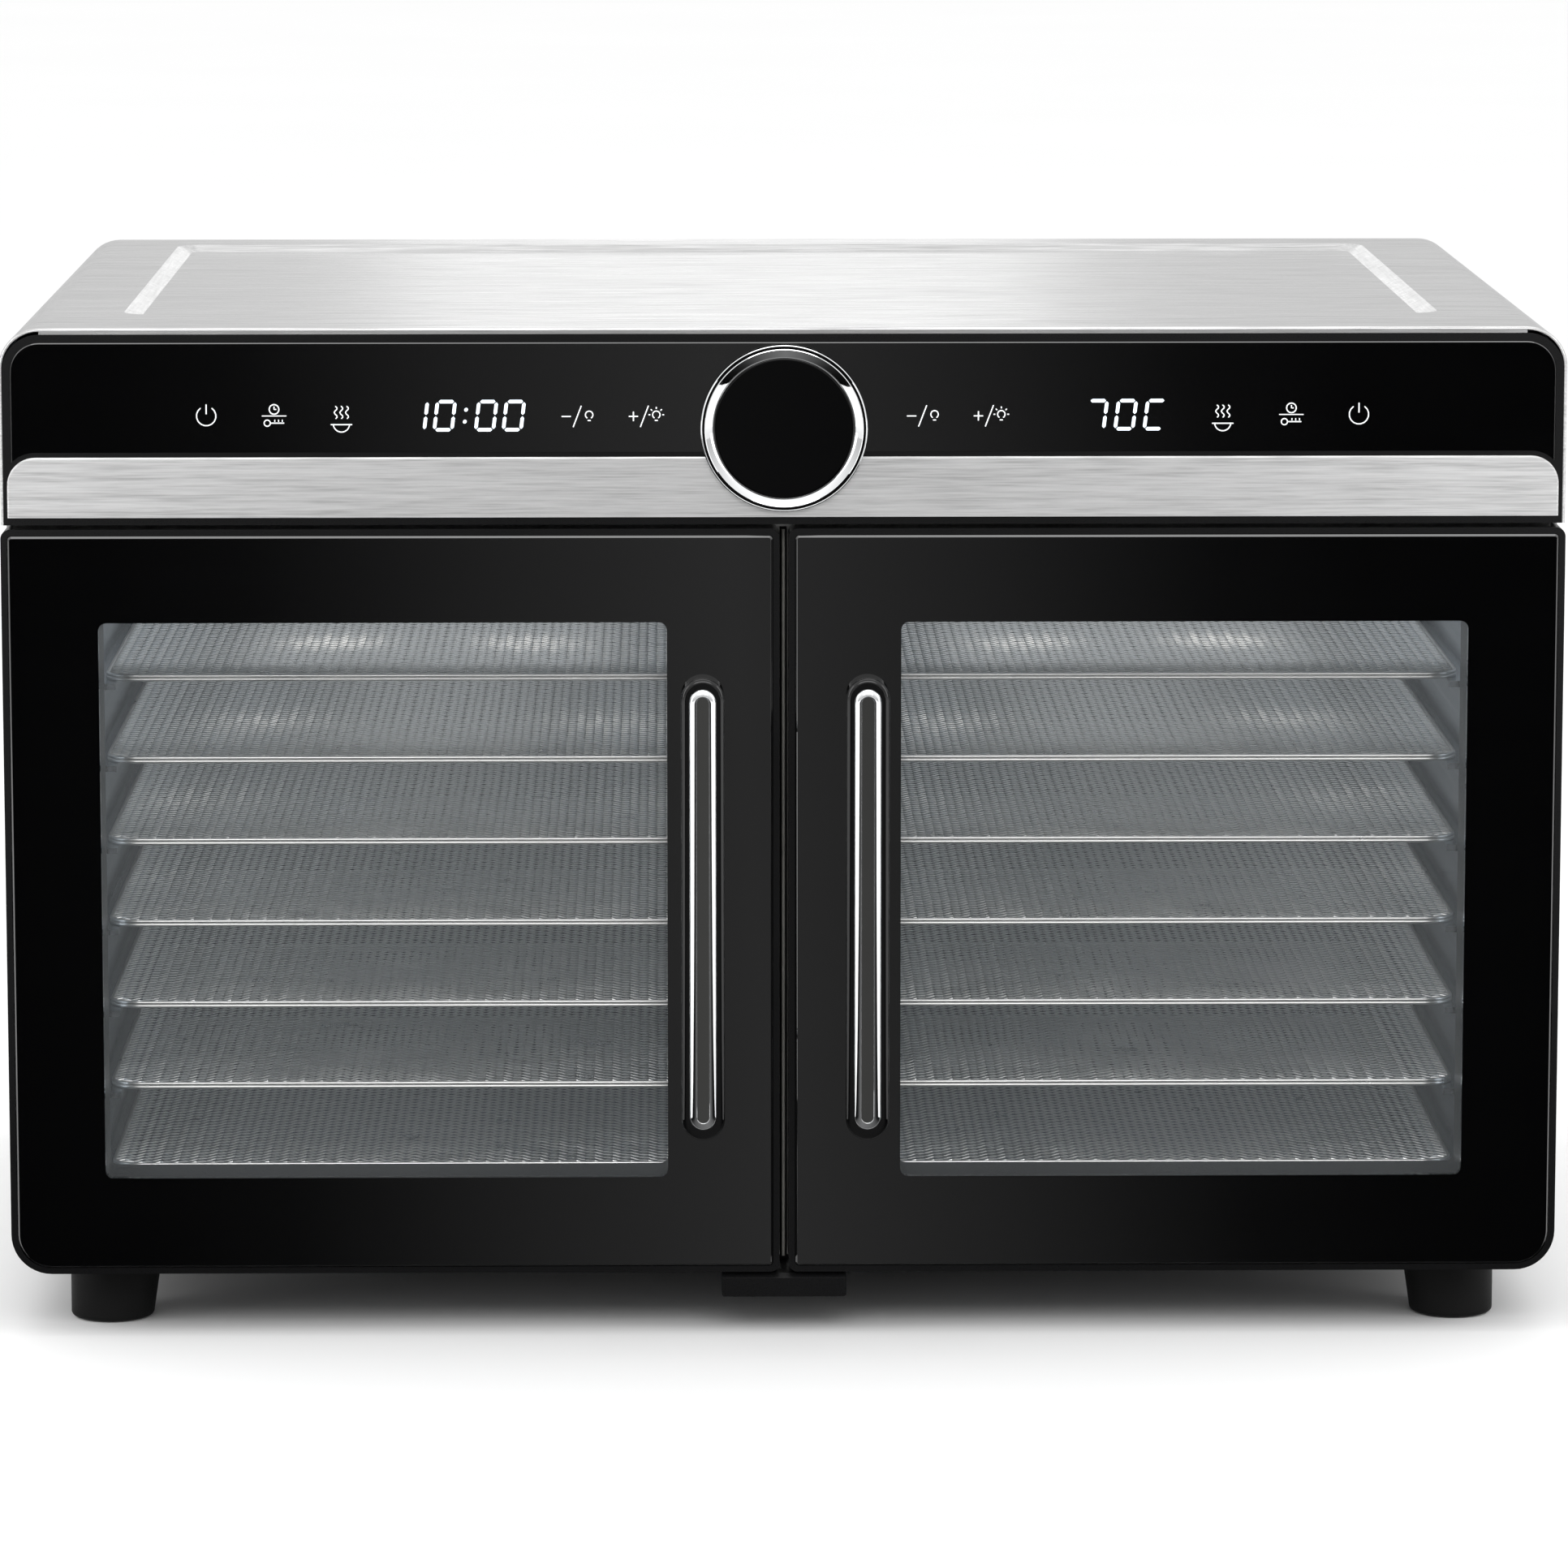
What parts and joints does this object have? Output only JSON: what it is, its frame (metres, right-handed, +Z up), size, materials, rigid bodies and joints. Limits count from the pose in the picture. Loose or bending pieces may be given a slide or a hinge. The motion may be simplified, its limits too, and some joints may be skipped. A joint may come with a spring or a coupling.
{
  "type": "food dehydrator",
  "caption": "Twin-chamber countertop food dehydrator with two glazed doors, mesh trays on both sides, a brushed steel cover and a black glass touch panel.",
  "frame": {"origin": "middle of the footprint on the surface that the feet stand on", "axes": "+X to the object's right as seen from the front, +Y from the doors to the rear panel, +Z up"},
  "size_m": [0.5, 0.388, 0.327],
  "materials": {
    "brushed_cover": "brushed stainless steel, grain across the width",
    "painted_shell": "satin dark grey powder coat on sheet steel",
    "stainless": "fine brushed stainless sheet",
    "black_plastic": "satin black moulded plastic",
    "black_glass": "black printed toughened glass, polished",
    "brushed_trim": "long-grain brushed steel with polished edges",
    "chrome": "bright chrome plate",
    "black_gloss": "polished black plastic",
    "lamp_lens": "frosted lamp lens",
    "circuit_board": "green lacquered circuit board",
    "black_rubber": "matt black rubber",
    "magnet": "grey sintered magnet",
    "screw_steel": "bright zinc-plated steel",
    "chamber_steel": "bright-annealed stainless sheet",
    "heater_steel": "oxidised tubular heater sheath",
    "motor_steel": "zinc-coated motor can",
    "fan_aluminium": "pressed aluminium",
    "clear_glass": "clear toughened glass",
    "tray_steel": "polished stainless wire and expanded mesh"
  },
  "bodies": {
    "root": {"outer_cover": "brushed_cover", "base_pan": "painted_shell", "rear_panel": "painted_shell", "face_frame": "stainless", "fascia": "black_plastic", "control_glass": "black_glass", "trim_strip": "brushed_trim", "badge_ring": "chrome", "badge_disc": "black_gloss", "chamber_lamps": "lamp_lens", "control_board": "circuit_board", "power_board": "circuit_board", "power_inlet": "black_plastic", "feet": "black_rubber", "door_rest": "black_plastic", "hinge_brackets": "stainless", "door_magnets": "magnet", "cover_screws": "screw_steel", "left_chamber": "chamber_steel", "left_guides": "chamber_steel", "left_fan_guard": "chamber_steel", "left_heater": "heater_steel", "left_motor": "motor_steel", "right_chamber": "chamber_steel", "right_guides": "chamber_steel", "right_fan_guard": "chamber_steel", "right_heater": "heater_steel", "right_motor": "motor_steel"},
    "left_door": {"left_door_frame": "black_plastic", "left_door_glass": "clear_glass", "left_door_seal": "black_rubber", "left_handle_grip": "black_gloss", "left_handle_trim": "chrome", "left_door_screws": "screw_steel", "left_hinge_pins": "screw_steel"},
    "left_fan": {"left_fan_wheel": "fan_aluminium", "left_fan_shaft": "screw_steel"},
    "left_shelf_1": {"left_tray_1": "tray_steel"},
    "left_shelf_2": {"left_tray_2": "tray_steel"},
    "left_shelf_3": {"left_tray_3": "tray_steel"},
    "left_shelf_4": {"left_tray_4": "tray_steel"},
    "left_shelf_5": {"left_tray_5": "tray_steel"},
    "left_shelf_6": {"left_tray_6": "tray_steel"},
    "left_shelf_7": {"left_tray_7": "tray_steel"},
    "right_door": {"right_door_frame": "black_plastic", "right_door_glass": "clear_glass", "right_door_seal": "black_rubber", "right_handle_grip": "black_gloss", "right_handle_trim": "chrome", "right_door_screws": "screw_steel", "right_hinge_pins": "screw_steel"},
    "right_fan": {"right_fan_wheel": "fan_aluminium", "right_fan_shaft": "screw_steel"},
    "right_shelf_1": {"right_tray_1": "tray_steel"},
    "right_shelf_2": {"right_tray_2": "tray_steel"},
    "right_shelf_3": {"right_tray_3": "tray_steel"},
    "right_shelf_4": {"right_tray_4": "tray_steel"},
    "right_shelf_5": {"right_tray_5": "tray_steel"},
    "right_shelf_6": {"right_tray_6": "tray_steel"},
    "right_shelf_7": {"right_tray_7": "tray_steel"}
  },
  "joints": [
    {"name": "left_door_hinge", "type": "hinge", "parent": "root", "child": "left_door", "pos_m": [-0.2425, -0.1525, 0.14], "axis": [0, 0, -1], "range_deg": [0, 110]},
    {"name": "left_fan_spin", "type": "hinge", "parent": "root", "child": "left_fan", "pos_m": [-0.118, 0.148, 0.1415], "axis": [0, 1, 0], "continuous": true},
    {"name": "left_shelf_1_slide", "type": "slide", "parent": "root", "child": "left_shelf_1", "axis": [0, -1, 0], "range_m": [0, 0.0768]},
    {"name": "left_shelf_2_slide", "type": "slide", "parent": "root", "child": "left_shelf_2", "axis": [0, -1, 0], "range_m": [0, 0.0768]},
    {"name": "left_shelf_3_slide", "type": "slide", "parent": "root", "child": "left_shelf_3", "axis": [0, -1, 0], "range_m": [0, 0.0768]},
    {"name": "left_shelf_4_slide", "type": "slide", "parent": "root", "child": "left_shelf_4", "axis": [0, -1, 0], "range_m": [0, 0.0768]},
    {"name": "left_shelf_5_slide", "type": "slide", "parent": "root", "child": "left_shelf_5", "axis": [0, -1, 0], "range_m": [0, 0.0768]},
    {"name": "left_shelf_6_slide", "type": "slide", "parent": "root", "child": "left_shelf_6", "axis": [0, -1, 0], "range_m": [0, 0.0768]},
    {"name": "left_shelf_7_slide", "type": "slide", "parent": "root", "child": "left_shelf_7", "axis": [0, -1, 0], "range_m": [0, 0.0768]},
    {"name": "right_door_hinge", "type": "hinge", "parent": "root", "child": "right_door", "pos_m": [0.2425, -0.1525, 0.14], "axis": [0, 0, 1], "range_deg": [0, 110]},
    {"name": "right_fan_spin", "type": "hinge", "parent": "root", "child": "right_fan", "pos_m": [0.118, 0.148, 0.1415], "axis": [0, 1, 0], "continuous": true},
    {"name": "right_shelf_1_slide", "type": "slide", "parent": "root", "child": "right_shelf_1", "axis": [0, -1, 0], "range_m": [0, 0.0768]},
    {"name": "right_shelf_2_slide", "type": "slide", "parent": "root", "child": "right_shelf_2", "axis": [0, -1, 0], "range_m": [0, 0.0768]},
    {"name": "right_shelf_3_slide", "type": "slide", "parent": "root", "child": "right_shelf_3", "axis": [0, -1, 0], "range_m": [0, 0.0768]},
    {"name": "right_shelf_4_slide", "type": "slide", "parent": "root", "child": "right_shelf_4", "axis": [0, -1, 0], "range_m": [0, 0.0768]},
    {"name": "right_shelf_5_slide", "type": "slide", "parent": "root", "child": "right_shelf_5", "axis": [0, -1, 0], "range_m": [0, 0.0768]},
    {"name": "right_shelf_6_slide", "type": "slide", "parent": "root", "child": "right_shelf_6", "axis": [0, -1, 0], "range_m": [0, 0.0768]},
    {"name": "right_shelf_7_slide", "type": "slide", "parent": "root", "child": "right_shelf_7", "axis": [0, -1, 0], "range_m": [0, 0.0768]}
  ],
  "couplings": [
    {"joint": "left_shelf_1_slide", "follows": "left_door_hinge", "m_per_rad": 0.04},
    {"joint": "left_shelf_2_slide", "follows": "left_door_hinge", "m_per_rad": 0.04},
    {"joint": "left_shelf_3_slide", "follows": "left_door_hinge", "m_per_rad": 0.04},
    {"joint": "left_shelf_4_slide", "follows": "left_door_hinge", "m_per_rad": 0.04},
    {"joint": "left_shelf_5_slide", "follows": "left_door_hinge", "m_per_rad": 0.04},
    {"joint": "left_shelf_6_slide", "follows": "left_door_hinge", "m_per_rad": 0.04},
    {"joint": "left_shelf_7_slide", "follows": "left_door_hinge", "m_per_rad": 0.04},
    {"joint": "right_shelf_1_slide", "follows": "right_door_hinge", "m_per_rad": 0.04},
    {"joint": "right_shelf_2_slide", "follows": "right_door_hinge", "m_per_rad": 0.04},
    {"joint": "right_shelf_3_slide", "follows": "right_door_hinge", "m_per_rad": 0.04},
    {"joint": "right_shelf_4_slide", "follows": "right_door_hinge", "m_per_rad": 0.04},
    {"joint": "right_shelf_5_slide", "follows": "right_door_hinge", "m_per_rad": 0.04},
    {"joint": "right_shelf_6_slide", "follows": "right_door_hinge", "m_per_rad": 0.04},
    {"joint": "right_shelf_7_slide", "follows": "right_door_hinge", "m_per_rad": 0.04}
  ]
}
